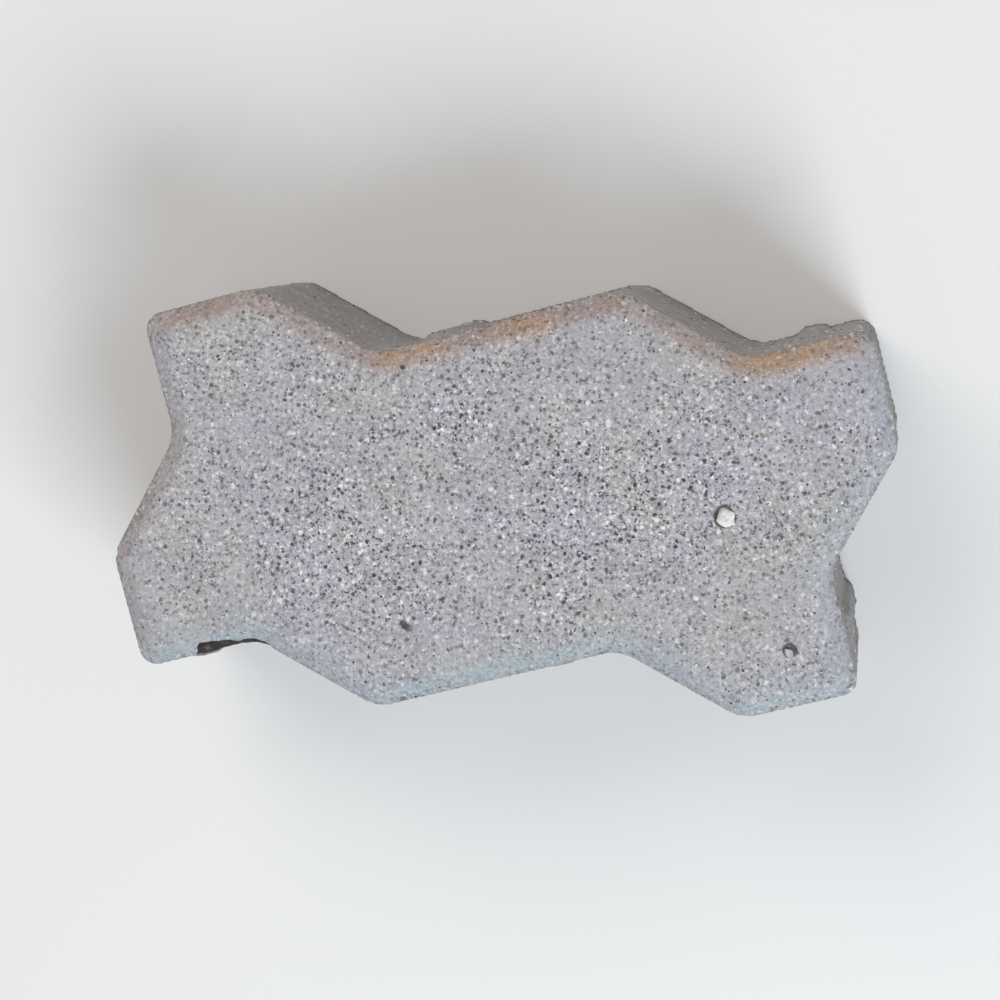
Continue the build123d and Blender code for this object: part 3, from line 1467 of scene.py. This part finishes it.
@dataclass
class PavingStone:
    """The whole stone: the block, its finishes, and the grains that show in it."""

    block: StoneBlock = field(default_factory=StoneBlock)
    pebbles: ExposedPebbles = field(default_factory=ExposedPebbles)
    scatters: tuple[GrainScatter, ...] = (
        GrainScatter("face_sand", "sandy", 0.47, (0.20, 0.62), 0.30, 1, 5),
        GrainScatter("side_sand", "side", 0.045, (0.45, 1.3), 0.42, 1, 8, flatness=0.7),
    )
    # The half length and half width, in millimetres, within which feet have worn the skin
    worn_reach: Pair = (112.0, 58.0)
    worn_fade: float = 0.6
    bevel_loss: float = 0.75
    unworn_sand: float = 0.75
    worn_gain: float = 0.45
    wearing_lift: float = 0.35
    wearing_depth: float = 8 * MM
    under_lift: float = -0.6
    under_depth: float = 3 * MM
    least_fracture: float = 0.02
    finishes: dict[Region, ConcreteFinish] = field(
        default_factory=lambda: {
            Region.WEARING: ConcreteFinish("wearing_concrete"),
            Region.SIDE: ConcreteFinish(
                "moulded_concrete",
                ground=(0.38, 0.37, 0.368, 1.0),
                cool=(0.355, 0.358, 0.372, 1.0),
                warm=(0.40, 0.382, 0.355, 1.0),
                mottling=0.7,
                pale=(0.56, 0.55, 0.54, 1.0),
                sand=0.45,
                dust_and_warm_light_strength=0.6,
                painted_sky_light_strength=0.5,
                tooth_depth=0.40 * MM,
            ),
            Region.UNDERSIDE: ConcreteFinish(
                "board_concrete",
                ground=(0.385, 0.375, 0.368, 1.0),
                cool=(0.36, 0.362, 0.374, 1.0),
                warm=(0.40, 0.382, 0.355, 1.0),
                mottling=0.6,
                pale=(0.56, 0.55, 0.54, 1.0),
                sand=0.35,
                dust_and_warm_light_strength=0.0,
                painted_sky_light_strength=0.0,
                tooth_depth=0.40 * MM,
            ),
        }
    )

    def build(self) -> list[Piece]:
        """Build and dress the stone.

        Returns:
            Its pieces, the block first.
        """
        block = self.block.build()
        effects = SharedEffects()
        for region in Region:
            block.data.materials.append(self.finishes[region].material(effects))
        block.data.materials.append(BrokenFinish().material(effects))
        self.assign_regions(block.data)
        self.keep_sandy(block.data)
        grain_finish = GrainFinish().material()
        grains = [scatter.build(block, grain_finish) for scatter in self.scatters]
        exposed = self.pebbles.build()
        exposed.data.materials.append(grain_finish)
        return [block, *grains, exposed]

    def keep_sandy(self, mesh: Mesh) -> None:
        """Keep where feet have worn the skin open, and where sand shows: less to the edges and the bevel.

        Args:
            mesh: the block's mesh.
        """
        places = np.array([vertex.co for vertex in mesh.vertices]) / MM
        length, width = self.worn_reach
        inwards = 1 - np.hypot(places[:, 0] / length, places[:, 1] / width)
        opened = np.clip(inwards / self.worn_fade, 0, 1)
        worn = opened * opened * (3 - 2 * opened)
        wearing, bevel, fracture = (kept_values(mesh, name) for name in ("wearing", "bevel", "fracture"))
        sandy = wearing * (1 - self.bevel_loss * bevel) * (1 - fracture)
        keep_values(mesh, "worn", worn)
        keep_values(mesh, "sandy", sandy * (self.unworn_sand + self.worn_gain * worn))

    def assign_regions(self, mesh: Mesh) -> None:
        """Give each face the finish of its region.

        Args:
            mesh: the block's mesh.
        """
        heights = np.array([polygon.center.z for polygon in mesh.polygons])
        lifts = np.array([polygon.normal.z for polygon in mesh.polygons])
        top = heights.max() - self.wearing_depth
        bottom = heights.min() + self.under_depth
        regions = np.full(len(heights), Region.SIDE.value, np.int32)
        regions[(lifts > self.wearing_lift) & (heights > top)] = Region.WEARING.value
        regions[(lifts < self.under_lift) & (heights < bottom)] = Region.UNDERSIDE.value
        corners = np.zeros(len(mesh.loops), np.int32)
        mesh.loops.foreach_get("vertex_index", corners)
        starts = np.array([polygon.loop_start for polygon in mesh.polygons])
        fracture = np.add.reduceat(kept_values(mesh, "fracture")[corners], starts)
        regions[fracture > self.least_fracture] = len(Region)
        mesh.polygons.foreach_set("material_index", regions)


@dataclass(frozen=True)
class Softbox:
    """One large soft light: where it hangs, the length of its sides, its power in watts, its colour."""

    name: str
    place: Point
    size: float
    power: float
    colour: Point

    def hang(self, aim: Vector) -> None:
        """Hang the light, turned to the stone.

        Args:
            aim: the point that it faces.
        """
        light = bpy.data.lights.new(self.name, "AREA")
        light.size = self.size
        light.energy = self.power
        light.color = self.colour
        lamp = bpy.data.objects.new(self.name, light)
        lamp.location = self.place
        lamp.rotation_euler = (aim - Vector(self.place)).to_track_quat("-Z", "Y").to_euler()
        bpy.context.scene.collection.objects.link(lamp)


@dataclass
class Studio:
    """The floor, the soft lights and the camera."""

    aim: Vector = field(default_factory=lambda: Vector((0.0, 0.0, 0.070)))
    eye: Vector = field(default_factory=lambda: Vector((0.1116, 0.0899, 0.8391)))
    up: Vector = field(default_factory=lambda: Vector((-0.0087, 0.9993, -0.0355)))
    lens: float = 92.0
    nearest: float = 0.05
    softboxes: tuple[Softbox, ...] = (
        Softbox("near_light", (0.9, -1.2, 1.35), 1.1, 30.0, (0.90, 0.965, 1.0)),
        Softbox("far_light", (-0.8, 1.1, 1.3), 1.2, 14.0, (1.0, 0.93, 0.85)),
    )
    floor_size: float = 80.0
    floor_fade: Pair = (0.45, 1.6)
    floor_cloud: float = 0.5
    floor_low: Colour = (0.784, 0.784, 0.784, 1.0)
    floor_colour: Colour = (0.80, 0.80, 0.80, 1.0)
    floor_roughness: float = 0.9
    distance_colour: Colour = (0.78, 0.785, 0.79, 1.0)
    daylight: Colour = (0.97, 0.98, 1.0, 1.0)
    daylight_strength: float = 0.40

    def build_floor(self) -> Piece:
        """Make the pale floor, which runs into a pale distance.

        Returns:
            The floor.
        """
        collected = bmesh.new()
        bmesh.ops.create_grid(collected, x_segments=1, y_segments=1, size=self.floor_size / 2)
        floor = collected_piece("floor", collected)
        graph = FinishGraph("floor_paper")
        tint = graph.noise(graph.metres, self.floor_cloud, 2.0)
        graph.feed(graph.shader.inputs["Base Color"], graph.blend(tint, self.floor_low, self.floor_colour))
        graph.shader.inputs["Roughness"].default_value = self.floor_roughness
        far_off = graph.ramp(graph.vector("LENGTH", graph.metres, output=1), *self.floor_fade)
        pale = graph.add("ShaderNodeEmission", {"Color": self.distance_colour, "Strength": 1.0})
        faded = graph.times(graph.background_ray(), far_off)
        layers = {0: faded, 1: graph.shader.outputs[0], 2: pale.outputs[0]}
        graph.feed(graph.output.inputs["Surface"], graph.add("ShaderNodeMixShader", layers).outputs[0])
        floor.data.materials.append(graph.material)
        return floor

    def build_lights(self) -> None:
        """Light the stone softly from all round, a little cooler from the near right."""
        for softbox in self.softboxes:
            softbox.hang(self.aim)
        world = bpy.data.worlds.new("studio")
        bpy.context.scene.world = world
        world.use_nodes = True
        graph = NodeGraph(world.node_tree)
        graph.tree.nodes.clear()
        sky = {"Color": self.daylight, "Strength": self.daylight_strength}
        light = graph.add("ShaderNodeBackground", sky)
        pale = graph.add("ShaderNodeBackground", {"Color": self.distance_colour, "Strength": 1.0})
        layers = {0: graph.background_ray(), 1: light.outputs[0], 2: pale.outputs[0]}
        mixed = graph.add("ShaderNodeMixShader", layers)
        graph.add("ShaderNodeOutputWorld", {"Surface": mixed.outputs[0]})

    def build_camera(self) -> None:
        """Set the camera at the photograph's viewing angle."""
        back = (self.eye - self.aim).normalized()
        right = self.up.cross(back).normalized()
        above = back.cross(right)
        camera = bpy.data.objects.new("camera", bpy.data.cameras.new("camera"))
        camera.data.lens = self.lens
        camera.data.clip_start = self.nearest
        turn = Matrix((right, above, back)).transposed().to_4x4()
        camera.matrix_world = Matrix.Translation(self.eye) @ turn
        bpy.context.scene.collection.objects.link(camera)
        bpy.context.scene.camera = camera


def main() -> None:
    """Build the studio and the stone, and say what each piece is."""
    logging.basicConfig(level=logging.INFO, format="%(message)s")
    bpy.context.scene.view_settings.view_transform = "Standard"
    studio = Studio()
    studio.build_camera()
    studio.build_floor()
    studio.build_lights()

    for piece in PavingStone().build():
        triangles = sum(len(polygon.vertices) - 2 for polygon in piece.data.polygons)
        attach(piece, BODY)
        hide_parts(NODE)
        log.info("piece %s: %d triangles", piece.name, triangles)


if __name__ == "__main__":
    main()
